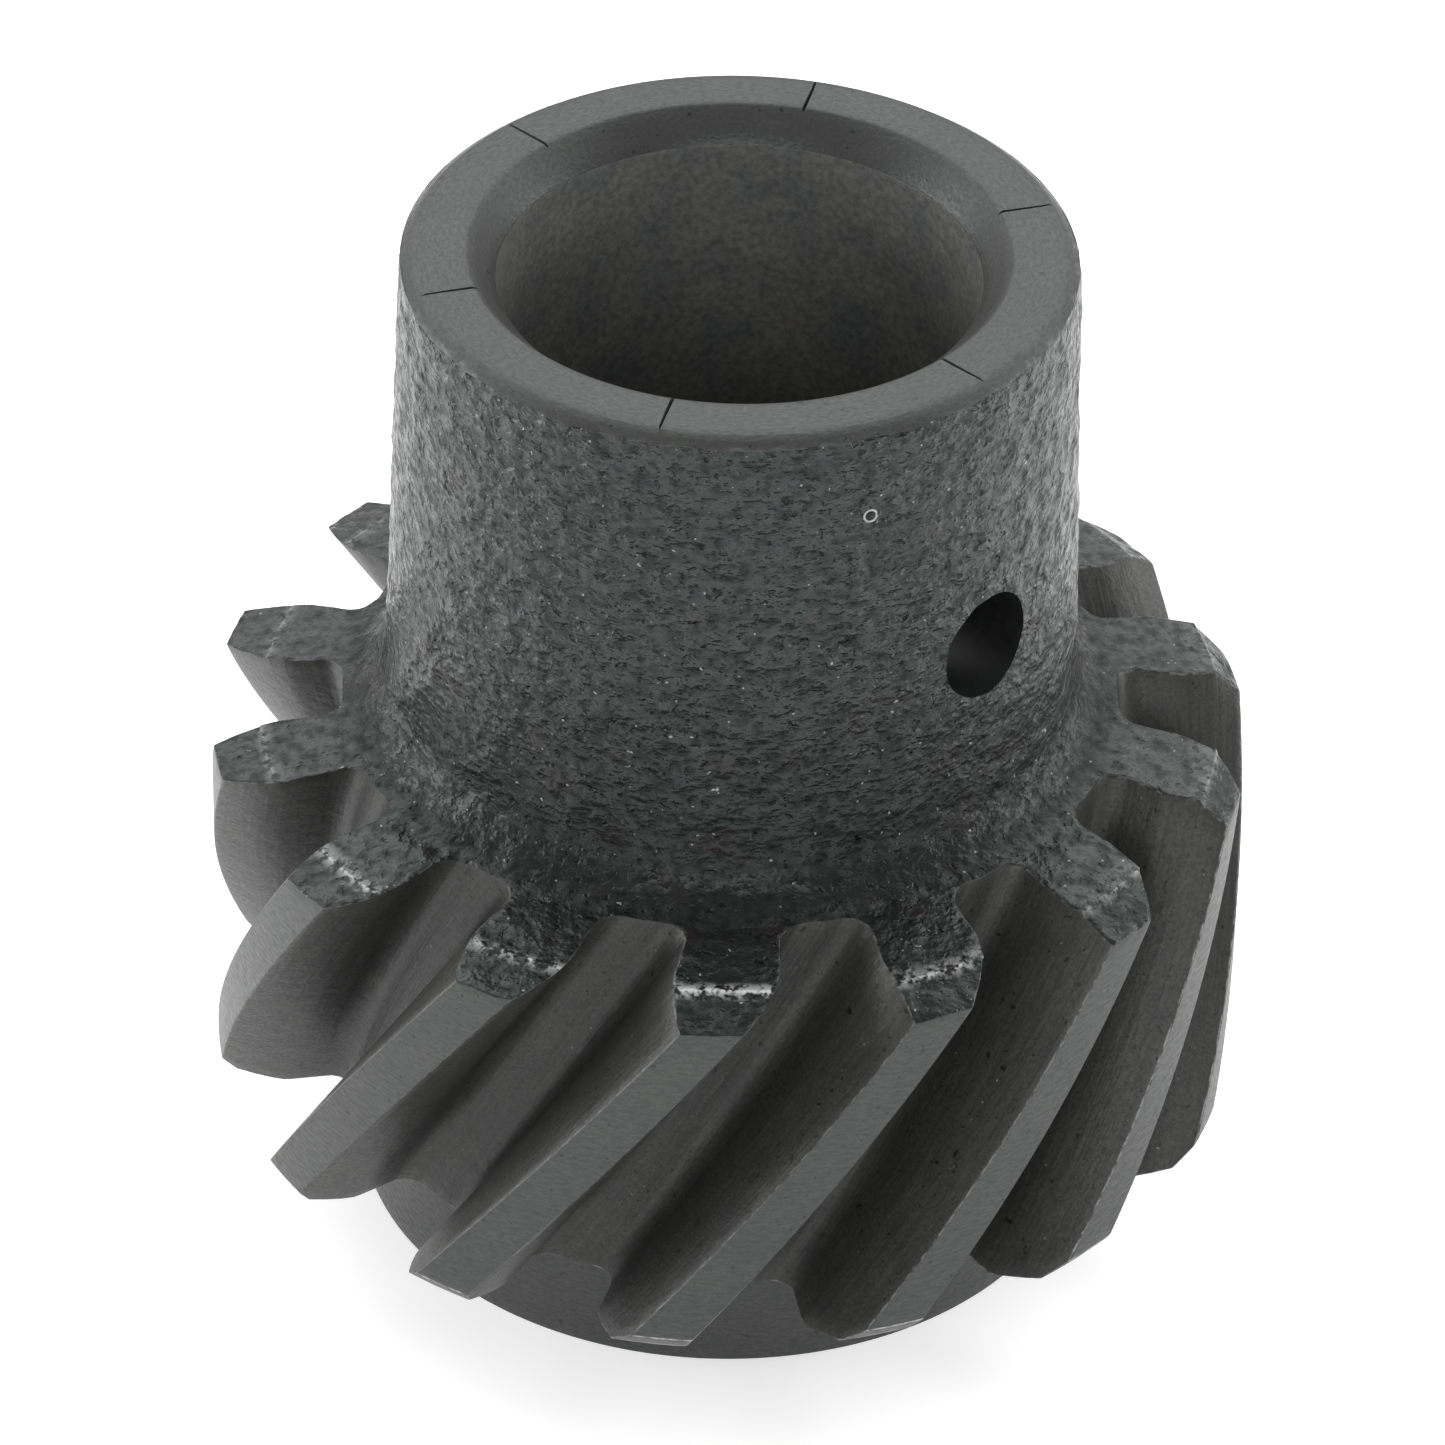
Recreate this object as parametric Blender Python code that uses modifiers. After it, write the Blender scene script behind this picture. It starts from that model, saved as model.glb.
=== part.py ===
"""Helical distributor-drive gear: one iron casting with a hub, a 14-tooth helical gear and a boss.

The casting is a turned ring (hub, cast fillet, gear blank and lower boss round one bore). Fourteen
twisted gaps are cut out of the blank, then the pilot hole for the drive pin, then six scribed marks.
Lengths below are in millimetres. The model is built in metres, +Z up, with the boss face on z = 0.
"""

import math

import bmesh
import bpy

MM = 0.001
NAME = "helical_gear"

# Bore and hub
BORE_R = 6.745  # 0.531 in bore
LENGTH = 31.2  # boss face to hub face
TOP_BORE_CHAMFER_R = 7.58
TOP_BORE_CHAMFER_H = 0.88
LOW_BORE_CHAMFER = 0.6
HUB_FACE_R = 9.05  # flat ring on top of the hub
HUB_TOP_R = 9.45  # hub wall under the turned chamfer
HUB_CHAMFER_H = 0.3
HUB_FOOT_R = 9.88  # the cast wall widens downwards: its draft
FILLET_R = 1.8  # cast fillet from the hub to the gear

# Gear blank
SHOULDER_Z = 16.05  # upper cast face of the gear, where the fillet ends
SHOULDER_R = 13.75  # that face slopes down to here
SHOULDER_DROP = 0.35
TIP_TOP_Z = 15.2  # tips start here, under the cast chamfer
TIP_R = 14.9
TIP_LOW_Z = 4.25  # tips end here, above the lower chamfer
CHAMFER_R = 14.45
CHAMFER_Z = 3.67
END_R = 13.1  # the lower end face is flat inside this radius
END_Z = 3.3
BOSS_R = 10.7

# Teeth
TEETH = 14
TWIST = 0.0485  # right-hand helix, radians of turn per millimetre of height
PHASE = -107.8  # direction of one tooth's middle at z = 0, degrees from +X
TIP_HALF_ANGLE = 3.36  # half a tip land, degrees
BASE_R = 12.9  # base circle of the flank's involute
ROOT_R = 11.15
ROOT_FILLET = 0.7

# Pilot hole and scribed marks
PIN_HOLE_R = 1.588  # 1/8 in pin
PIN_HOLE_Z = 22.67
PIN_DIRECTION = -43.1  # degrees from +X
MARKS = 6
MARK_DEPTH = 0.07
MARK_WIDTH = 0.16

ROUND_STEPS = 70
GAP_SLICES = 8


def clear_scene():
    for obj in list(bpy.data.objects):
        bpy.data.objects.remove(obj)
    for collection in list(bpy.data.collections):
        bpy.data.collections.remove(collection)


def new_collection(name):
    collection = bpy.data.collections.new(name)
    bpy.context.scene.collection.children.link(collection)
    return collection


def add_object(name, verts, edges, faces, collection):
    mesh = bpy.data.meshes.new(name)
    mesh.from_pydata([[c * MM for c in v] for v in verts], edges, faces)
    obj = bpy.data.objects.new(name, mesh)
    collection.objects.link(obj)
    return obj


def cast_iron():
    material = bpy.data.materials.new("dark_cast_iron")
    material.use_nodes = True
    shader = material.node_tree.nodes["Principled BSDF"]
    shader.inputs["Base Color"].default_value = (0.085, 0.08, 0.073, 1)
    shader.inputs["Metallic"].default_value = 0.7
    shader.inputs["Roughness"].default_value = 0.5
    material.diffuse_color = (0.085, 0.08, 0.073, 1)
    return material


def fillet_arc(steps=6):
    """Cast fillet: from the hub's wall, round to the gear's upper face."""
    middle_r, middle_z = HUB_FOOT_R + FILLET_R, SHOULDER_Z + FILLET_R
    for i in range(steps + 1):
        turn = math.radians(180 + 90 * i / steps)
        yield middle_r + FILLET_R * math.cos(turn), middle_z + FILLET_R * math.sin(turn)


def blank_profile():
    """Radius and height round the section: down the outside, in under the boss, up the bore."""
    return [
        (TOP_BORE_CHAMFER_R, LENGTH),
        (HUB_FACE_R, LENGTH),
        (HUB_TOP_R, LENGTH - HUB_CHAMFER_H),
        *fillet_arc(),
        (SHOULDER_R, SHOULDER_Z - SHOULDER_DROP),
        (TIP_R, TIP_TOP_Z),
        (TIP_R, TIP_LOW_Z),
        (CHAMFER_R, CHAMFER_Z),
        (END_R, END_Z),
        (BOSS_R, END_Z),
        (BOSS_R, 0),
        (BORE_R + LOW_BORE_CHAMFER, 0),
        (BORE_R, LOW_BORE_CHAMFER),
        (BORE_R, LENGTH - TOP_BORE_CHAMFER_H),
    ]


def turned_blank(collection):
    profile = [(r, 0, z) for r, z in blank_profile()]
    count = len(profile)
    edges = [(i, (i + 1) % count) for i in range(count)]
    blank = add_object("gear_casting", profile, edges, [], collection)
    screw = blank.modifiers.new("turned", "SCREW")
    screw.axis = "Z"
    screw.angle = math.tau
    screw.steps = screw.render_steps = ROUND_STEPS
    screw.use_merge_vertices = True
    screw.merge_threshold = 1e-6
    screw.use_smooth_shade = True
    return blank


def involute(radius):
    """Involute angle, in radians, where the flank crosses this radius."""
    pressure = math.acos(min(1.0, BASE_R / radius))
    return math.tan(pressure) - pressure


def gap_half_angle(radius):
    """Half the gap between two teeth at this radius. Below the base circle the flank is radial."""
    tooth = math.radians(TIP_HALF_ANGLE) + involute(TIP_R) - involute(max(radius, BASE_R))
    return math.pi / TEETH - tooth


def gap_side():
    """Radius and angle from the gap's middle: half of the root, its fillet, the flank, the way out."""
    wall = gap_half_angle(BASE_R)
    middle_r = ROOT_R + ROOT_FILLET
    middle_turn = wall - math.asin(ROOT_FILLET / middle_r)
    points = [(ROOT_R, middle_turn)]
    for i in range(1, 4):
        turn = math.radians(90 * i / 3) + math.asin(ROOT_FILLET / middle_r) * i / 3
        x = middle_r - ROOT_FILLET * math.cos(turn)
        y = ROOT_FILLET * math.sin(turn)
        points.append((math.hypot(x, y), middle_turn + math.atan2(y, x)))
    points.append((BASE_R, wall))
    for i in (1, 2, 3):
        radius = BASE_R + (TIP_R - BASE_R) * i / 3
        points.append((radius, gap_half_angle(radius)))
    points.append((TIP_R + 0.8, gap_half_angle(TIP_R) + math.radians(0.8)))
    return points


def gap_cutters(collection):
    """All the gaps as one helper mesh: each one is the gap's outline, lifted and turned in slices."""
    side = gap_side()
    outline = [(r, -a) for r, a in reversed(side)] + [(ROOT_R, 0)] + side
    low, high = END_Z - 1.2, SHOULDER_Z + 0.9
    verts, faces = [], []
    for tooth in range(TEETH):
        start = len(verts)
        middle = math.radians(PHASE) + math.tau * (tooth + 0.5) / TEETH
        for level in range(GAP_SLICES + 1):
            z = low + (high - low) * level / GAP_SLICES
            for radius, turn in outline:
                angle = middle + turn + TWIST * z
                verts.append((radius * math.cos(angle), radius * math.sin(angle), z))
        size = len(outline)
        for level in range(GAP_SLICES):
            for i in range(size):
                a = start + level * size + i
                b = start + level * size + (i + 1) % size
                faces += [(a, b, b + size), (a, b + size, a + size)]
        faces.append(tuple(range(start + size - 1, start - 1, -1)))
        faces.append(tuple(range(start + GAP_SLICES * size, start + GAP_SLICES * size + size)))
    cutter = add_object("tooth_gaps", verts, [], faces, collection)
    face_outwards(cutter)
    return cutter


def pin_hole_cutter(collection):
    """A cylinder from the axis out through one wall of the hub: a pilot hole, drilled through on fitting."""
    turn = math.radians(PIN_DIRECTION)
    length = HUB_FOOT_R + 2
    middle = (length / 2 * math.cos(turn) * MM, length / 2 * math.sin(turn) * MM, PIN_HOLE_Z * MM)
    bpy.ops.mesh.primitive_cylinder_add(
        vertices=28,
        radius=PIN_HOLE_R * MM,
        depth=length * MM,
        location=middle,
        rotation=(0, math.pi / 2, turn),
    )
    cutter = bpy.context.object
    cutter.name = "pin_hole"
    for owner in list(cutter.users_collection):
        owner.objects.unlink(cutter)
    collection.objects.link(cutter)
    return cutter


def mark_cutters(collection):
    """Six V-shaped radial marks across the hub's top face, one of them in line with the pilot hole."""
    verts, faces = [], []
    for i in range(MARKS):
        turn = math.radians(PIN_DIRECTION) + math.tau * i / MARKS
        out = (math.cos(turn), math.sin(turn))
        across = (-out[1], out[0])
        start = len(verts)
        for reach in (TOP_BORE_CHAMFER_R - 0.4, HUB_FACE_R + 0.5):
            for offset, height in ((-1, 1), (1, 1), (0, -1)):
                verts.append(
                    (
                        out[0] * reach + across[0] * offset * MARK_WIDTH,
                        out[1] * reach + across[1] * offset * MARK_WIDTH,
                        LENGTH + height * MARK_DEPTH,
                    )
                )
        faces += [(0, 1, 2), (3, 5, 4), (0, 3, 4, 1), (1, 4, 5, 2), (2, 5, 3, 0)]
        faces[-5:] = [tuple(start + k for k in face) for face in faces[-5:]]
    cutter = add_object("scribed_marks", verts, [], faces, collection)
    face_outwards(cutter)
    return cutter


def face_outwards(obj):
    work = bmesh.new()
    work.from_mesh(obj.data)
    bmesh.ops.recalc_face_normals(work, faces=work.faces)
    work.to_mesh(obj.data)
    work.free()


def cut(target, cutter):
    cutter.hide_render = True
    cutter.display_type = "WIRE"
    boolean = target.modifiers.new("cut_" + cutter.name, "BOOLEAN")
    boolean.operation = "DIFFERENCE"
    boolean.solver = "EXACT"
    boolean.object = cutter


def build():
    clear_scene()
    parts = new_collection(NAME)
    helpers = new_collection("cutters")
    gear = turned_blank(parts)
    gear.data.materials.append(cast_iron())
    cut(gear, gap_cutters(helpers))
    cut(gear, pin_hole_cutter(helpers))
    cut(gear, mark_cutters(helpers))
    helpers.hide_render = True


build()
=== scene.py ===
"""Looks of the helical gear: one dark iron casting, turned and cut, on a pale floor.

The casting is built as one closed mesh from rows and columns that follow its real surfaces: the hub with
its cast skin, the fillet, the cast tooth tops, the cut gaps, the turned tips, the boss and the bore.
Lengths below are in millimetres; the scene is in metres, +Z up, boss face on z = 0.
"""

import math

import bmesh
import bpy
from mathutils import Matrix, Vector, noise


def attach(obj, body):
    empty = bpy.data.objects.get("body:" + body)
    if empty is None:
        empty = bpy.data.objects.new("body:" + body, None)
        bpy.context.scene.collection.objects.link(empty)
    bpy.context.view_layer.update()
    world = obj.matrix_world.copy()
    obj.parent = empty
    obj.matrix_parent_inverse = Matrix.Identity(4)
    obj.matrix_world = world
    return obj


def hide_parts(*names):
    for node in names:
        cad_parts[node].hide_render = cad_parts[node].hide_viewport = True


MM = 0.001

# Bore and hub
BORE_R = 6.745
LENGTH = 31.2
TOP_BORE_CHAMFER_R, TOP_BORE_CHAMFER_H = 7.58, 0.88
LOW_BORE_CHAMFER = 0.6
HUB_FACE_R = 9.05
HUB_TOP_R = 9.45
HUB_CHAMFER_H = 0.3
HUB_FOOT_R = 9.88
FILLET_R = 1.8

# Gear blank
SHOULDER_Z, SHOULDER_DROP = 16.05, 0.35
TIP_TOP_Z, TIP_R, TIP_LOW_Z = 15.2, 14.9, 4.25
CHAMFER_R, CHAMFER_Z = 14.45, 3.67
END_R, END_Z = 13.1, 3.3
BOSS_R = 10.7

# Teeth
TEETH = 14
TWIST = 0.0485
PHASE = math.radians(-107.8)
TIP_HALF = math.radians(3.36)
BASE_R = 12.9
ROOT_R, ROOT_FILLET = 11.15, 0.7
FILLET_END = 11.9  # past this radius a gap's wall is the flank's own curve

# The cast rim isn't quite round: radius of its upper edge, and height where each turned tip starts
SHOULDERS = (13.8, 14.05, 14.15, 14.0, 14.0, 13.9, 13.8, 13.6, 13.5, 13.5, 13.6, 13.4, 13.48, 13.75)
TIP_STARTS = (15.06, 15.05, 15.05, 15.1, 15.15, 15.2, 15.25, 15.35, 15.42, 15.45, 15.42, 15.38, 15.22, 15.1)

# How bright the burr on each tooth's shoulder is painted: partly a real bright burr, partly a painted
# highlight
BURR_WEAR_AND_HIGHLIGHTS = (0.3, 0.3, 0.2, 0.2, 0.3, 0.3, 0.4, 0.3, 0.3, 0.35, 0.75, 0.85, 1.3, 0.75)

# How bright the edges of each tooth's tip are painted: partly rubbed wear, partly a painted highlight
RUBBED_WEAR_AND_HIGHLIGHTS = (0.4, 0.6, 0.6, 0.4, 0.3, 0.3, 0.3, 0.2, 0.2, 0.2, 0.2, 0.2, 0.2, 0.3)

# Pilot hole and scribed marks
PIN_HOLE_R, PIN_HOLE_Z = 1.588, 22.67
PIN_TURN = math.radians(-43.1)
MARKS, MARK_DEPTH, MARK_HALF = 6, 0.08, 0.1

# A small burst blister in the cast skin, high on the hub's front, only painted: painted shade in its hollow
# and a painted highlight on its rim
BLISTER, BLISTER_R = (3.66, -8.72, 28.43), 0.19

# Camera: where it stands, and the ways it has ahead, to its right and up
CAMERA_PLACE = (0, -194.6035, 158.2829)
CAMERA_AHEAD = (-0.00086525, 0.80513467, -0.59309141)
CAMERA_RIGHT = (0.99975719, 0.01375544, 0.01721478)
CAMERA_UP = (-0.02201845, 0.5929325, 0.80495108)
LENS, SENSOR = 209.05, 36

# Light. The surroundings' strengths are for in front and behind, low down and overhead.
FRONT_LOW, FRONT_HIGH, BACK_LOW, BACK_HIGH = 0.4, 0.28, 0.4, 2.9
HORIZON = 1.0
TABLE_GLOW = 0.4
LEFT_POWER, RIGHT_POWER, FRONT_POWER = 1.3, 0.9, 2.0

# Mesh
EDGE = 0.06  # distance of the rows that run beside every sharp edge
SOFT = 0.35  # how far a sharp edge sinks, as a share of EDGE
ROOT_COLUMNS, TOOTH_COLUMNS = 6, 18
GAP_ROWS = 28
HUB_ROWS = 76
SHOULDER_ROW, CHAMFER_ROW = 11, 13  # places of the two edges among a flank's points
CAST, TURNED, FLANK, BORE, DRILLED = range(5)  # zones, in the order of the materials

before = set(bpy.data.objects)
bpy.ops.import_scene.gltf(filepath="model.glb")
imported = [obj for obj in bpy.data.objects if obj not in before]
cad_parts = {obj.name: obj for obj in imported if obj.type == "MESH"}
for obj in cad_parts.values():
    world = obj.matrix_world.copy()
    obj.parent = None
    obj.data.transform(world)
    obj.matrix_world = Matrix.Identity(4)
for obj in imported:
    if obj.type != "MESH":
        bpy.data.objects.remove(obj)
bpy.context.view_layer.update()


def ease(low, high, x):
    t = min(1.0, max(0.0, (x - low) / (high - low)))
    return t * t * (3 - 2 * t)


def grain(x, y, z, size, seed=0.0):
    """Smooth noise from -1 to 1 with bumps about this many millimetres across."""
    return noise.noise(Vector((x / size + seed, y / size - seed, z / size + 2 * seed)))


# ---------------------------------------------------------------- tooth geometry
def involute(radius):
    pressure = math.acos(min(1.0, BASE_R / radius))
    return math.tan(pressure) - pressure


def gap_half_angle(radius):
    tooth = TIP_HALF + involute(TIP_R) - involute(max(radius, BASE_R))
    return math.pi / TEETH - tooth


def flank_points(shoulder=None):
    """Radius and angle from the gap's middle, from the root arc's end out to the tip. The lower end of a
    flank has close points round its chamfer's edge, the upper end round the cast shoulder's edge."""
    wall = gap_half_angle(BASE_R)
    middle_r = ROOT_R + ROOT_FILLET
    lean = math.asin(ROOT_FILLET / middle_r)
    points = [(ROOT_R, wall - lean)]
    for i in range(1, 6):
        turn = (math.pi / 2 + lean) * i / 5
        x, y = middle_r - ROOT_FILLET * math.cos(turn), ROOT_FILLET * math.sin(turn)
        points.append((math.hypot(x, y), wall - lean + math.atan2(y, x)))
    outer = TIP_R - EDGE
    if shoulder is None:
        radii = [12.2, 12.6, BASE_R, END_R, 13.5, 13.95, CHAMFER_R - EDGE, CHAMFER_R, CHAMFER_R + EDGE]
        radii += [14.62, 14.73]
    else:
        past = shoulder + EDGE
        radii = [12.2, 12.6, BASE_R, 13.15, shoulder - EDGE, shoulder, past]
        radii += [past + (outer - past) * i / 5 for i in range(1, 5)]
    return points + [(r, gap_half_angle(r)) for r in radii + [outer, TIP_R]]


def wall_angle(radius):
    """Angle of the gap's side at this radius, outside the root arc."""
    places = [p for p in LOW_SIDE if p[0] < FILLET_END]
    if radius >= places[-1][0]:
        return gap_half_angle(radius)
    for low, high in zip(places, places[1:]):
        if radius <= high[0]:
            return low[1] + (high[1] - low[1]) * max(0.0, radius - low[0]) / (high[0] - low[0])


LOW_SIDE = flank_points()
TOP_SIDES = [flank_points(r) for r in SHOULDERS]
N = len(LOW_SIDE) - 1
COLUMNS = ROOT_COLUMNS + TOOTH_COLUMNS
AROUND = TEETH * COLUMNS


def cast_skin(x, y, z, rough=1.0):
    """How far the cast skin stands out or in, in millimetres: broad waves, lumps and small pits."""
    waves = 0.035 * grain(x, y, z, 2.1, 3.7) + 0.035 * grain(x, y, z, 0.95, 9.1)
    lumps = 0.05 * grain(x, y, z, 0.5, 5.3)
    pits = -0.14 * max(0.0, grain(x, y, z, 0.6, 17.9) - 0.34)
    return rough * (waves + lumps + pits)


def top_z(radius, angle, tooth):
    """Height of the cast upper face of the gear: fillet, slope, then the cast chamfer of the tooth tops."""
    x, y = radius * math.cos(angle), radius * math.sin(angle)
    skin = cast_skin(x, y, SHOULDER_Z, 1 - 0.35 * ease(10.8, 12.0, radius))
    inner = HUB_FOOT_R + FILLET_R
    if radius < inner:
        return SHOULDER_Z + FILLET_R - math.sqrt(FILLET_R**2 - (inner - radius) ** 2) + skin
    shoulder, edge = SHOULDERS[tooth], SHOULDER_Z - SHOULDER_DROP
    if radius <= shoulder:
        lip = 0.05 * max(0.0, 0.35 + grain(x, y, 0, 0.5, 41.3))
        lip *= ease(shoulder - 2.5 * EDGE, shoulder, radius)
        return SHOULDER_Z - SHOULDER_DROP * (radius - inner) / (shoulder - inner) + skin + lip
    tip = TIP_STARTS[tooth] + 0.07 * grain(x, y, 0, 0.7, 23.9) + 0.04 * grain(x, y, 0, 0.25, 31.7)
    out = (radius - shoulder) / (TIP_R - shoulder)
    return edge + (tip - edge) * out + skin * (1 - out) - 0.03 * (1 - out)


def low_z(radius):
    """Height of the turned lower end of the teeth."""
    if radius <= END_R:
        return END_Z
    if radius <= CHAMFER_R:
        return END_Z + (CHAMFER_Z - END_Z) * (radius - END_R) / (CHAMFER_R - END_R)
    return CHAMFER_Z + (TIP_LOW_Z - CHAMFER_Z) * (radius - CHAMFER_R) / (TIP_R - CHAMFER_R)


def spread(count, width):
    """Places from 0 to 1, evenly spaced, but with one close to either end."""
    near = min(EDGE / width, 0.3 / count)
    inner = [near + (1 - 2 * near) * i / (count - 2) for i in range(count - 1)]
    return [0.0] + inner + [1.0]


# ---------------------------------------------------------------- mesh
class Grid:
    """Vertices, quads and zones collected while the surfaces are laid out."""

    def __init__(self):
        self.co, self.faces, self.zones = [], [], []
        self.sharp = set()
        self.wear_and_highlight = {}

    def vert(self, radius, angle, z):
        self.co.append((radius * math.cos(angle), radius * math.sin(angle), z))
        return len(self.co) - 1

    # Marks vertices whose colour is painted bright: partly wear and burrs, partly a painted highlight
    def scuff_and_highlight(self, verts, amount):
        for v in verts:
            self.wear_and_highlight[v] = max(amount, self.wear_and_highlight.get(v, 0))

    def quads(self, rows, zone):
        """rows is a list of equally long lists of vertices."""
        for low, high in zip(rows, rows[1:]):
            for i in range(len(low) - 1):
                self.faces.append((low[i], low[i + 1], high[i + 1], high[i]))
                self.zones.append(zone)


def lay_teeth(g):
    """Gap walls, tip lands and both ends of every tooth. Returns the upper and the lower root ring."""
    upper, lower = [None] * AROUND, [None] * AROUND
    half_root = LOW_SIDE[0][1]
    root_arc = [(ROOT_R, half_root * (2 * i / ROOT_COLUMNS - 1)) for i in range(1, ROOT_COLUMNS)]
    rise = spread(GAP_ROWS, TIP_TOP_Z - TIP_LOW_Z)
    walls = []
    for k in range(TEETH):
        middle = PHASE + math.tau * (k + 0.5) / TEETH
        sides = []
        for left, right in ((LOW_SIDE, LOW_SIDE), (TOP_SIDES[k - 1], TOP_SIDES[k])):
            sides.append([(r, -a) for r, a in reversed(left)] + root_arc + right)
        rows = []
        for t in rise:
            row = []
            for i, (low, high) in enumerate(zip(*sides)):
                tooth = k - 1 if i < N + ROOT_COLUMNS / 2 else k
                radius = low[0] + (high[0] - low[0]) * t
                in_root = N <= i <= N + ROOT_COLUMNS
                turn = high[1] if in_root else math.copysign(wall_angle(radius), high[1])
                top = top_z(high[0], middle + high[1] + TWIST * SHOULDER_Z, tooth)
                z = low_z(low[0]) + (top - low_z(low[0])) * t
                row.append(g.vert(radius, middle + turn + TWIST * z, z))
            rows.append(row)
        walls.append(rows)
        g.quads(rows, FLANK)
        for c in range(ROOT_COLUMNS + 1):
            lower[k * COLUMNS + c] = rows[0][N + c]
            upper[k * COLUMNS + c] = rows[-1][N + c]
    for k in range(TEETH):
        left, right = walls[k], walls[(k + 1) % TEETH]
        middle = PHASE + math.tau * (k + 1) / TEETH
        ends = []
        for top, row, side, ring in ((0, 0, LOW_SIDE, lower), (1, -1, TOP_SIDES[k], upper)):
            block = []
            for j, (radius, turn) in enumerate(side):
                half = math.pi / TEETH - turn
                line = [left[row][N + ROOT_COLUMNS + j]]
                for s in spread(TOOTH_COLUMNS, 2 * half * radius)[1:-1]:
                    angle = middle + half * (2 * s - 1)
                    z = top_z(radius, angle + TWIST * SHOULDER_Z, k) if top else low_z(radius)
                    line.append(g.vert(radius, angle + TWIST * z, z))
                line.append(right[row][N - j])
                block.append(line)
            ends.append(block)
            g.quads(block, CAST if top else TURNED)
            for s in range(1, TOOTH_COLUMNS):
                ring[k * COLUMNS + ROOT_COLUMNS + s] = block[0][s]
        land = [ends[0][-1]]
        for t, left_row, right_row in list(zip(rise, left, right))[1:-1]:
            line = [left_row[-1]]
            for s in spread(TOOTH_COLUMNS, 2 * TIP_HALF * TIP_R)[1:-1]:
                angle = middle + TIP_HALF * (2 * s - 1)
                z = TIP_LOW_Z + (top_z(TIP_R, angle + TWIST * SHOULDER_Z, k) - TIP_LOW_Z) * t
                line.append(g.vert(TIP_R, angle + TWIST * z, z))
            land.append(line + [right_row[0]])
        land.append(ends[1][-1])
        g.quads(land, TURNED)
        for line in land + ends[0] + ends[1]:
            g.sharp.update((line[0], line[-1]))
        for line in (land[0], land[-1], left[0], left[-1]):
            g.sharp.update(line)
        # Bright tooth edges, each tooth with its own strength: partly worn and burred metal, partly painted
        # highlights
        g.scuff_and_highlight([line[i] for line in land[1:-1] for i in (0, -1)], RUBBED_WEAR_AND_HIGHLIGHTS[k])
        g.scuff_and_highlight(land[0] + ends[0][CHAMFER_ROW], 0.8)
        g.scuff_and_highlight([line[i] for line in ends[0] for i in (0, -1)], 0.4)
        g.scuff_and_highlight(ends[1][SHOULDER_ROW], BURR_WEAR_AND_HIGHLIGHTS[k])
        g.scuff_and_highlight(ends[1][SHOULDER_ROW - 1] + ends[1][SHOULDER_ROW + 1], 0.5 * BURR_WEAR_AND_HIGHLIGHTS[k])
        g.scuff_and_highlight([line[i] for line in ends[1][3:] for i in (0, -1)], 0.2)
    return upper, lower


def lathe_rows():
    """Every ring from the upper root ring over the top, down the bore and back up the boss: radius,
    height, zone, whether it is a sharp edge, and the way its cast skin stands out in radius and height."""
    middle_r, middle_z = HUB_FOOT_R + FILLET_R, SHOULDER_Z + FILLET_R
    first = math.acos((middle_r - ROOT_R) / FILLET_R)
    rows = []
    for i in range(1, 13):
        c, s = math.cos(first * (1 - i / 12)), math.sin(first * (1 - i / 12))
        rows.append((middle_r - FILLET_R * c, middle_z - FILLET_R * s, CAST, 0, c, s))

    def line(r0, z0, r1, z1, count, zone, sharp=1, skin=(0, 0)):
        for s in spread(count, math.hypot(r1 - r0, z1 - z0))[1:]:
            rows.append((r0 + (r1 - r0) * s, z0 + (z1 - z0) * s, zone, int(sharp and s == 1.0), *skin))

    wall_top = LENGTH - HUB_CHAMFER_H
    line(HUB_FOOT_R, middle_z, HUB_TOP_R, wall_top, HUB_ROWS, CAST, 1, (1, 0))
    rows[-1] = (*rows[-1][:4], 1, -HUB_CHAMFER_H / (HUB_TOP_R - HUB_FACE_R))
    line(HUB_TOP_R, wall_top, HUB_FACE_R, LENGTH, 4, TURNED)
    line(HUB_FACE_R, LENGTH, TOP_BORE_CHAMFER_R, LENGTH, 7, TURNED)
    line(TOP_BORE_CHAMFER_R, LENGTH, BORE_R, LENGTH - TOP_BORE_CHAMFER_H, 5, TURNED)
    line(BORE_R, LENGTH - TOP_BORE_CHAMFER_H, BORE_R, LOW_BORE_CHAMFER, 16, BORE)
    line(BORE_R, LOW_BORE_CHAMFER, BORE_R + LOW_BORE_CHAMFER, 0, 4, TURNED)
    line(BORE_R + LOW_BORE_CHAMFER, 0, BOSS_R, 0, 7, TURNED)
    line(BOSS_R, 0, BOSS_R, END_Z, 9, TURNED, 0)
    return rows


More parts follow.
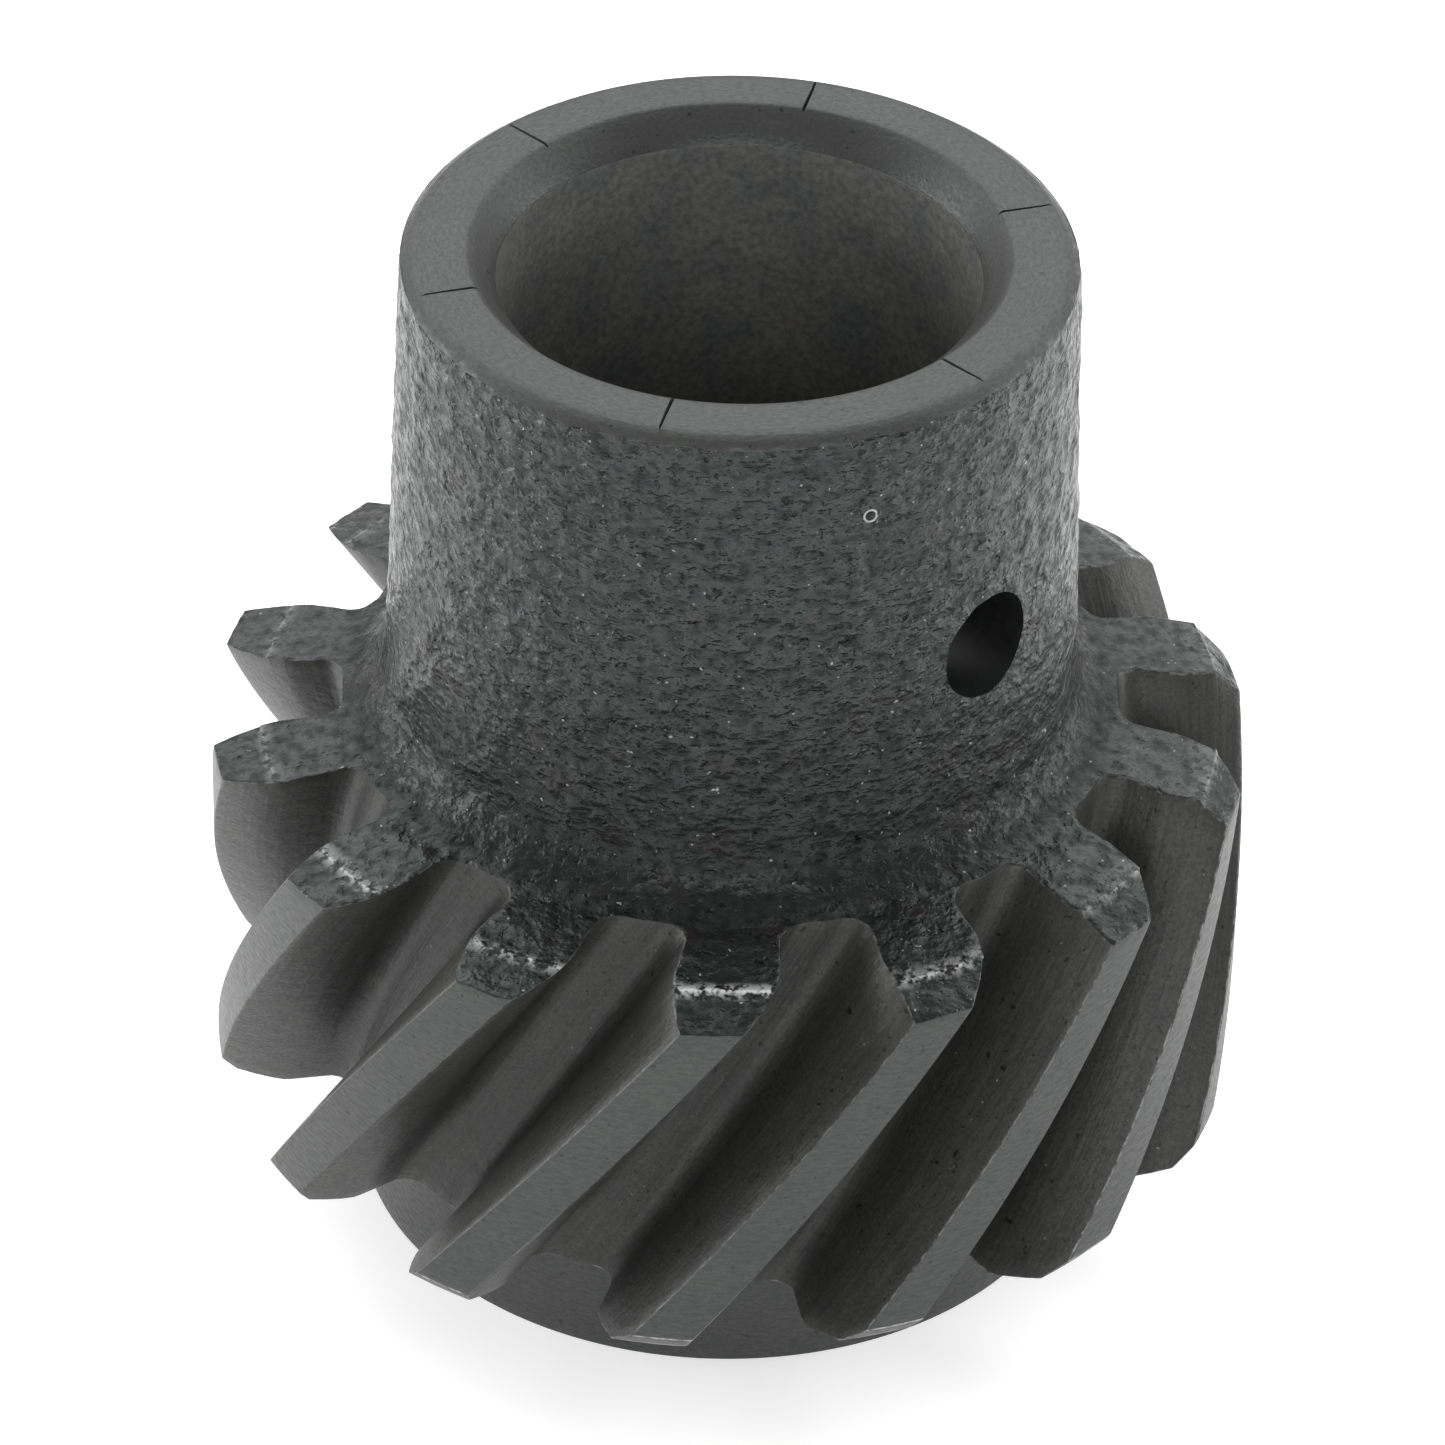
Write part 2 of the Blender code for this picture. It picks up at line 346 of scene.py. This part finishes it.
def lay_hub(g, upper, lower):
    """Rings over the hub and the bore. Their columns follow the teeth at both root rings and are even
    between them."""
    root_angles = []
    for k in range(TEETH):
        middle = PHASE + math.tau * (k + 0.5) / TEETH
        half_root = LOW_SIDE[0][1]
        for c in range(COLUMNS):
            if c < ROOT_COLUMNS:
                root_angles.append(middle - half_root + 2 * half_root * c / ROOT_COLUMNS)
            else:
                half = math.pi / TEETH - half_root
                s = spread(TOOTH_COLUMNS, 2 * half * ROOT_R)[c - ROOT_COLUMNS]
                root_angles.append(middle + math.pi / TEETH + half * (2 * s - 1))
    offset = sum(a - math.tau * i / AROUND for i, a in enumerate(root_angles)) / AROUND
    even = [math.tau * i / AROUND + offset for i in range(AROUND)]
    rows = lathe_rows()
    rings = [list(upper)]
    low_twist, high_twist = TWIST * END_Z, TWIST * SHOULDER_Z
    for n, (radius, z, zone, sharp, out, rise) in enumerate(rows):
        follow = max(1 - (n + 1) / 16, 1 - (len(rows) - n) / 8, 0)
        follow = follow * follow * (3 - 2 * follow)
        twist = high_twist + (low_twist - high_twist) * ease(len(rows) * 0.6, len(rows) * 0.95, n)
        ring = []
        for e, a in zip(even, root_angles):
            angle = e + (a - e) * follow + twist
            skin = 0
            if out:
                skin = cast_skin(radius * math.cos(angle), radius * math.sin(angle), z) - 0.01
            ring.append(g.vert(radius + skin * out, angle, z + skin * rise))
        if sharp:
            g.sharp.update(ring)
        rings.append(ring)
    rings.append(list(lower))
    zones = [row[2] for row in rows] + [TURNED]
    for (low, high), zone in zip(zip(rings, rings[1:]), zones):
        g.quads([low + low[:1], high + high[:1]], zone)


def make_casting():
    g = Grid()
    upper, lower = lay_teeth(g)
    lay_hub(g, upper, lower)
    mesh = bpy.data.meshes.new("gear_casting_looks")
    mesh.from_pydata([Vector(c) * MM for c in g.co], [], g.faces)
    mesh.polygons.foreach_set("material_index", g.zones)
    work = bmesh.new()
    work.from_mesh(mesh)
    bmesh.ops.recalc_face_normals(work, faces=work.faces)
    work.verts.ensure_lookup_table()
    # Per-vertex brightness of the edges: partly wear, partly painted highlight
    wear_and_highlight = work.verts.layers.float.new("wear_and_highlight")
    for i, amount in g.wear_and_highlight.items():
        work.verts[i][wear_and_highlight] = amount
    sunk = {i: work.verts[i].normal * SOFT * EDGE * MM for i in g.sharp}
    for i, move in sunk.items():
        work.verts[i].co -= move
    work.to_mesh(mesh)
    work.free()
    casting = bpy.data.objects.new("gear_casting_looks", mesh)
    bpy.context.scene.collection.objects.link(casting)
    return casting


def hole_and_marks():
    """One helper mesh: a cylinder through one wall of the hub and six narrow wedges on its top face."""
    work = bmesh.new()
    length = (HUB_FOOT_R + 2) * MM
    turn = Matrix.Rotation(PIN_TURN, 4, "Z") @ Matrix.Rotation(math.pi / 2, 4, "Y")
    place = Matrix.Translation((0, 0, PIN_HOLE_Z * MM)) @ turn @ Matrix.Translation((0, 0, length / 2))
    radius = PIN_HOLE_R * MM
    bmesh.ops.create_cone(
        work, cap_ends=True, segments=72, radius1=radius, radius2=radius, depth=length, matrix=place
    )
    for i in range(MARKS):
        way = PIN_TURN + math.tau * i / MARKS
        out = Vector((math.cos(way), math.sin(way), 0))
        across = Vector((-math.sin(way), math.cos(way), 0))
        corners = []
        for reach, deep in ((TOP_BORE_CHAMFER_R - 0.35, 1.3), (HUB_FACE_R + 0.08, 0.5)):
            for side, up in ((-1, 1), (1, 1), (0, -1)):
                z = LENGTH + MARK_DEPTH * up * (deep if up < 0 else 1)
                corner = out * reach + across * side * MARK_HALF + Vector((0, 0, z))
                corners.append(work.verts.new(corner * MM))
        for face in ((0, 1, 2), (3, 5, 4), (0, 3, 4, 1), (1, 4, 5, 2), (2, 5, 3, 0)):
            work.faces.new([corners[c] for c in face])
    bmesh.ops.recalc_face_normals(work, faces=work.faces)
    mesh = bpy.data.meshes.new("hole_and_marks")
    work.to_mesh(mesh)
    work.free()
    for polygon in mesh.polygons:
        polygon.material_index = DRILLED
    helper = bpy.data.objects.new("hole_and_marks", mesh)
    bpy.context.scene.collection.objects.link(helper)
    return helper


def drill(casting):
    helper = hole_and_marks()
    for material in casting.data.materials:
        helper.data.materials.append(material)
    boolean = casting.modifiers.new("hole_and_marks", "BOOLEAN")
    boolean.operation, boolean.solver, boolean.object = "DIFFERENCE", "EXACT", helper
    boolean.material_mode = "INDEX"
    evaluated = casting.evaluated_get(bpy.context.evaluated_depsgraph_get())
    mesh = bpy.data.meshes.new_from_object(evaluated)
    casting.modifiers.clear()
    casting.data = mesh
    bpy.data.objects.remove(helper)
    mesh.polygons.foreach_set("use_smooth", [True] * len(mesh.polygons))
    mesh.set_sharp_from_angle(angle=math.radians(48))


# ---------------------------------------------------------------- materials
class Shade:
    """A material and short calls for its nodes. Sizes are in millimetres."""

    def __init__(self, name, roughness, specular):
        self.material = bpy.data.materials.new(name)
        self.material.use_nodes = True
        self.tree = self.material.node_tree
        self.shader = self.tree.nodes["Principled BSDF"]
        self.shader.inputs["Roughness"].default_value = roughness
        self.shader.inputs["Specular IOR Level"].default_value = specular
        self.spot = self.add("TexCoord").outputs["Object"]
        x, y, z = self.add("SeparateXYZ", {"Vector": self.spot}).outputs
        flat = self.add("CombineXYZ", {"X": x, "Y": y})
        self.radius = self.add("VectorMath", {0: flat.outputs[0]}, operation="LENGTH").outputs["Value"]
        self.angle = self.math("ARCTAN2", y, x)
        self.z = z

    def add(self, kind, inputs=None, **settings):
        node = self.tree.nodes.new("ShaderNode" + kind)
        for key, value in settings.items():
            setattr(node, key, value)
        for key, value in (inputs or {}).items():
            if isinstance(value, bpy.types.NodeSocket):
                self.tree.links.new(value, node.inputs[key])
            else:
                node.inputs[key].default_value = value
        return node

    def math(self, operation, a, b=0.0):
        return self.add("Math", {0: a, 1: b}, operation=operation).outputs[0]

    def vector(self, x, y, z):
        return self.add("CombineXYZ", {"X": x, "Y": y, "Z": z}).outputs[0]

    def noise(self, size, detail=2.0, rough=0.5, shift=0.0, flat=1.0):
        """Noise with bumps about this many millimetres across, and flatter than they are wide if asked."""
        squeeze = {0: self.spot, 1: (1, 1, flat), 2: (shift, shift, -shift)}
        spot = self.add("VectorMath", squeeze, operation="MULTIPLY_ADD").outputs[0]
        inputs = {"Vector": spot, "Scale": 1 / (size * MM), "Detail": detail, "Roughness": rough}
        return self.add("TexNoise", inputs).outputs["Fac"]

    def streaks(self, u, v, w):
        """Noise drawn out into tool marks: short steps along u and v, long ones along w."""
        inputs = {"Vector": self.vector(u, v, w), "Scale": 1.0, "Detail": 2.0}
        return self.add("TexNoise", inputs).outputs["Fac"]

    def spread(self, value, low, high, to_low=0.0, to_high=1.0):
        inputs = {"Value": value, "From Min": low, "From Max": high, "To Min": to_low, "To Max": to_high}
        return self.add("MapRange", inputs).outputs["Result"]

    def mix(self, factor, a, b):
        return self.add("Mix", {0: factor, 6: a, 7: b}, data_type="RGBA").outputs[2]

    def bump(self, height, depth, normal=None, strength=1.0):
        inputs = {"Height": height, "Distance": depth * MM, "Strength": strength}
        if normal:
            inputs["Normal"] = normal
        return self.add("Bump", inputs).outputs["Normal"]

    def wear_and_highlight(self, size, low, high):
        """Edges painted bright, partly rubbed wear and partly a painted highlight: the mesh's own value,
        broken up by noise.
        """
        value = self.add("Attribute", attribute_name="wear_and_highlight").outputs["Fac"]
        return self.math("MULTIPLY", value, self.spread(self.noise(size, 2.0, 0.6, 0.3), low, high))

    def finish(self, colour, rough=None, normal=None):
        for socket, value in (("Base Color", colour), ("Roughness", rough), ("Normal", normal)):
            if value is not None:
                self.tree.links.new(value, self.shader.inputs[socket])
        return self.material


def grey(value, warm=0.0, green=0.0):
    return (value * (1 + warm), value * (1 + green), value * (1 - warm), 1)


def cast_material():
    s = Shade("cast_skin", 0.4, 0.35)
    s.shader.inputs["Specular Tint"].default_value = (0.9, 1.0, 0.985, 1)
    patches = s.spread(s.noise(0.75, 3.0, 0.6), 0.36, 0.64)
    colour = s.mix(patches, (0.0116, 0.0124, 0.0122, 1), (0.014, 0.0153, 0.0148, 1))
    colour = s.mix(s.spread(s.noise(1.3, 2.0, 0.5, 0.7), 0.5, 0.72), colour, (0.0165, 0.0128, 0.0135, 1))
    fine = s.noise(0.13, 2.0, 0.6)
    pits = s.noise(0.42, 2.0, 0.55, 0.4, 1.6)
    lumps = s.noise(0.9, 2.0, 0.5, 0.9, 1.3)
    # Darker in the hollows of the pits: painted shade
    colour = s.mix(s.spread(pits, 0.3, 0.55, 0.8, 0.0), colour, grey(0.004))
    specks = s.spread(s.noise(0.19, 1.0, 0.5, 0.11), 0.745, 0.78)
    colour = s.mix(s.math("MULTIPLY", specks, 0.6), colour, grey(0.35, 0.02))
    # Bright edges: partly rubbed wear and burrs, partly a painted highlight
    colour = s.mix(s.wear_and_highlight(0.3, 0.44, 0.56), colour, grey(0.5))
    middle = tuple(c * MM for c in BLISTER)
    reach = s.add("VectorMath", {0: s.spot, 1: middle}, operation="DISTANCE").outputs["Value"]
    rim = s.math("ABSOLUTE", s.math("SUBTRACT", reach, BLISTER_R * MM))
    # The blister: painted shade in its hollow and a painted highlight round its rim; it has no shape in the
    # mesh
    colour = s.mix(s.spread(reach, 0.14 * MM, 0.17 * MM, 1.0, 0.0), colour, grey(0.003))
    colour = s.mix(s.spread(rim, 0.015 * MM, 0.04 * MM, 0.8, 0.0), colour, grey(0.4))
    # Near-black pores: painted shade inside tiny pits, which the bump below also sinks
    pores = s.spread(s.noise(0.25, 1.0, 0.5, 0.77), 0.29, 0.38)
    colour = s.mix(pores, grey(0.003), colour)
    calm = s.spread(s.z, 16.3 * MM, 21.0 * MM, 0.45, 1.0)
    waves = s.bump(pits, 0.17, s.bump(lumps, 0.3, strength=calm), calm)
    normal = s.bump(fine, 0.02, s.bump(pores, 0.05, waves, calm))
    # Specular halved at the fillet and back to full by z = 24 mm, kept up on the tooth tops: painted shade in
    # the corner between the hub and the gear's upper face
    above_teeth = s.spread(s.z, 16.0 * MM, 16.6 * MM, 0.85, 0.0)
    shaded_foot = s.math("MAXIMUM", above_teeth, s.spread(s.z, 17.0 * MM, 24.0 * MM, 0.5, 1.0))
    shine = s.math("MULTIPLY", s.spread(pits, 0.3, 0.56, 0.26, 0.42), shaded_foot)
    s.tree.links.new(shine, s.shader.inputs["Specular IOR Level"])
    return s.finish(colour, s.spread(pits, 0.38, 0.62, 0.44, 0.24), normal)


def turned_material():
    s = Shade("turned_faces", 0.42, 0.42)
    s.shader.inputs["Specular Tint"].default_value = (0.92, 1.0, 0.98, 1)
    across = 1 / (0.1 * MM)
    u, v = s.math("MULTIPLY", s.radius, across), s.math("MULTIPLY", s.z, across)
    lines = s.streaks(u, v, s.math("MULTIPLY", s.angle, 40.0))
    grit = s.noise(0.09, 2.0, 0.6, 0.6)
    patches = s.spread(s.noise(1.8, 3.0, 0.6), 0.35, 0.65)
    colour = s.mix(patches, grey(0.034, 0.02, 0.02), grey(0.041, 0.04, 0.03))
    colour = s.mix(s.spread(lines, 0.3, 0.65, 0.75, 0.0), colour, grey(0.018))
    colour = s.mix(s.spread(grit, 0.3, 0.6, 0.5, 0.0), colour, grey(0.015))
    # Near-black dents: painted shade inside small pores of the turned faces
    dents = s.spread(s.noise(0.22, 1.0, 0.5, 0.21), 0.25, 0.29)
    colour = s.mix(dents, grey(0.006), colour)
    # Bright edges: partly rubbed wear, partly a painted highlight
    colour = s.mix(s.wear_and_highlight(0.35, 0.38, 0.6), colour, grey(0.45))
    normal = s.bump(grit, 0.006, s.bump(lines, 0.012))
    return s.finish(colour, s.spread(lines, 0.3, 0.7, 0.5, 0.34), normal)


def flank_material():
    s = Shade("cut_flanks", 0.45, 0.3)
    lean = s.math("SUBTRACT", s.angle, s.math("MULTIPLY", s.z, TWIST / MM))
    across = 1 / (0.12 * MM)
    u, v = s.math("MULTIPLY", lean, 110.0), s.math("MULTIPLY", s.radius, across)
    lines = s.streaks(u, v, s.math("MULTIPLY", s.z, 0.35 / MM))
    grit = s.noise(0.11, 2.0, 0.6, 0.6)
    patches = s.spread(s.noise(1.1, 3.0, 0.6), 0.35, 0.65)
    colour = s.mix(patches, grey(0.031, 0.02, 0.01), grey(0.038, 0.04, 0.02))
    colour = s.mix(s.spread(lines, 0.35, 0.65, 0.45, 0.0), colour, grey(0.012))
    colour = s.mix(s.spread(grit, 0.3, 0.6, 0.6, 0.0), colour, grey(0.01))
    # Near-black dents: painted shade inside small pores of the cut flanks
    dents = s.spread(s.noise(0.24, 1.0, 0.5, 0.21), 0.26, 0.3)
    colour = s.mix(dents, grey(0.004), colour)
    specks = s.spread(s.noise(0.2, 1.0, 0.5, 0.31), 0.79, 0.82)
    colour = s.mix(s.math("MULTIPLY", specks, 0.5), colour, grey(0.25, 0.03))
    # Bright edges: partly rubbed wear, partly a painted highlight
    colour = s.mix(s.wear_and_highlight(0.3, 0.42, 0.6), colour, grey(0.4))
    normal = s.bump(grit, 0.01, s.bump(lines, 0.01, s.bump(s.noise(0.5, 2.0, 0.5, 0.2), 0.03)))
    return s.finish(colour, s.spread(grit, 0.3, 0.7, 0.5, 0.4), normal)


def bore_material():
    s = Shade("bored_wall", 0.4, 0.2)
    across = 1 / (0.09 * MM)
    lines = s.streaks(s.math("MULTIPLY", s.z, across), s.math("MULTIPLY", s.angle, 25.0), s.radius)
    patches = s.spread(s.noise(1.4, 3.0, 0.6), 0.35, 0.65)
    colour = s.mix(patches, grey(0.14, 0.05, 0.04), grey(0.115, -0.02, 0.01))
    colour = s.mix(s.spread(s.noise(0.2, 2.0, 0.6, 0.4), 0.3, 0.7, 0.5, 0.0), colour, grey(0.02))
    return s.finish(colour, s.spread(lines, 0.3, 0.7, 0.46, 0.36), s.bump(lines, 0.006))


# Near-black walls of the pin hole and the scribed marks: painted shade in the hole and the grooves
def hole_shade_material():
    s = Shade("hole_walls_painted_shade", 0.5, 0.2)
    return s.finish(s.mix(s.spread(s.noise(0.3, 3.0, 0.6), 0.35, 0.65), grey(0.004), grey(0.009, -0.05)))


def make_camera():
    """A long lens from the front, 36 degrees up."""
    data = bpy.data.cameras.new("camera")
    data.lens, data.sensor_width = LENS, SENSOR
    data.clip_start, data.clip_end = 0.01, 20
    camera = bpy.data.objects.new("camera", data)
    turn = Matrix((CAMERA_RIGHT, CAMERA_UP, -Vector(CAMERA_AHEAD))).transposed().to_4x4()
    turn.translation = Vector(CAMERA_PLACE) * MM
    camera.matrix_world = turn
    bpy.context.scene.collection.objects.link(camera)
    bpy.context.scene.camera = camera


def area_light(name, place, aim, size, power):
    data = bpy.data.lights.new(name, "AREA")
    data.shape = "RECTANGLE"
    data.size, data.size_y = size
    data.energy = power
    light = bpy.data.objects.new(name, data)
    light.location = place
    light.rotation_euler = (Vector(aim) - Vector(place)).to_track_quat("-Z", "Y").to_euler()
    light.visible_camera = False
    bpy.context.scene.collection.objects.link(light)


def make_stage():
    mesh = bpy.data.meshes.new("floor")
    corners = [(-1.5, -1.5, 0), (1.5, -1.5, 0), (1.5, 1.5, 0), (-1.5, 1.5, 0)]
    mesh.from_pydata(corners, [], [(0, 1, 2, 3)])
    floor = bpy.data.objects.new("floor", mesh)
    paint = bpy.data.materials.new("pale_floor")
    paint.use_nodes = True
    settings = {
        "Base Color": (0.92, 0.92, 0.92, 1),
        "Roughness": 0.9,
        "Specular IOR Level": 0.0,
        "Emission Color": (1, 1, 1, 1),
        "Emission Strength": TABLE_GLOW,
    }
    for name, value in settings.items():
        paint.node_tree.nodes["Principled BSDF"].inputs[name].default_value = value
    mesh.materials.append(paint)
    bpy.context.scene.collection.objects.link(floor)
    make_world()
    area_light("left_softbox", (-0.45, 0.06, 0.1), (0, 0, 0), (0.3, 0.22), LEFT_POWER)
    area_light("right_softbox", (0.45, 0.08, 0.1), (0, 0, 0), (0.3, 0.22), RIGHT_POWER)
    area_light("front_softbox", (0, -0.6, 0.3), (0, -0.02, 0.01), (0.6, 0.3), FRONT_POWER)


def make_world():
    """Soft surroundings: in front pale low down and dim overhead, behind dim low down and bright overhead."""
    world = bpy.data.worlds.new("studio")
    bpy.context.scene.world = world
    world.use_nodes = True
    nodes, links = world.node_tree.nodes, world.node_tree.links
    way = nodes.new("ShaderNodeSeparateXYZ")
    links.new(nodes.new("ShaderNodeTexCoord").outputs["Generated"], way.inputs[0])
    low, high, sky, rim = (nodes.new("ShaderNodeMapRange") for _ in range(4))
    for node, socket, values in (
        (low, way.outputs["Y"], (-0.35, 0.35, FRONT_LOW, BACK_LOW)),
        (high, way.outputs["Y"], (-0.2, 0.4, FRONT_HIGH, BACK_HIGH)),
        (sky, way.outputs["Z"], (0.2, 0.55, 0.0, 0.0)),
        (rim, way.outputs["Z"], (0.07, 0.15, HORIZON, 0.0)),
    ):
        links.new(socket, node.inputs["Value"])
        for name, value in zip(("From Min", "From Max", "To Min", "To Max"), values):
            node.inputs[name].default_value = value
    links.new(low.outputs[0], sky.inputs["To Min"])
    links.new(high.outputs[0], sky.inputs["To Max"])
    links.new(sky.outputs[0], rim.inputs["To Max"])
    links.new(rim.outputs[0], nodes["Background"].inputs["Strength"])
    nodes["Background"].inputs["Color"].default_value = (1, 1, 1, 1)


casting = make_casting()
for make in (cast_material, turned_material, flank_material, bore_material, hole_shade_material):
    casting.data.materials.append(make())
drill(casting)
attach(casting, "root")
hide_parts("gear_casting")
make_stage()
make_camera()
bpy.context.scene.view_settings.view_transform = "Standard"
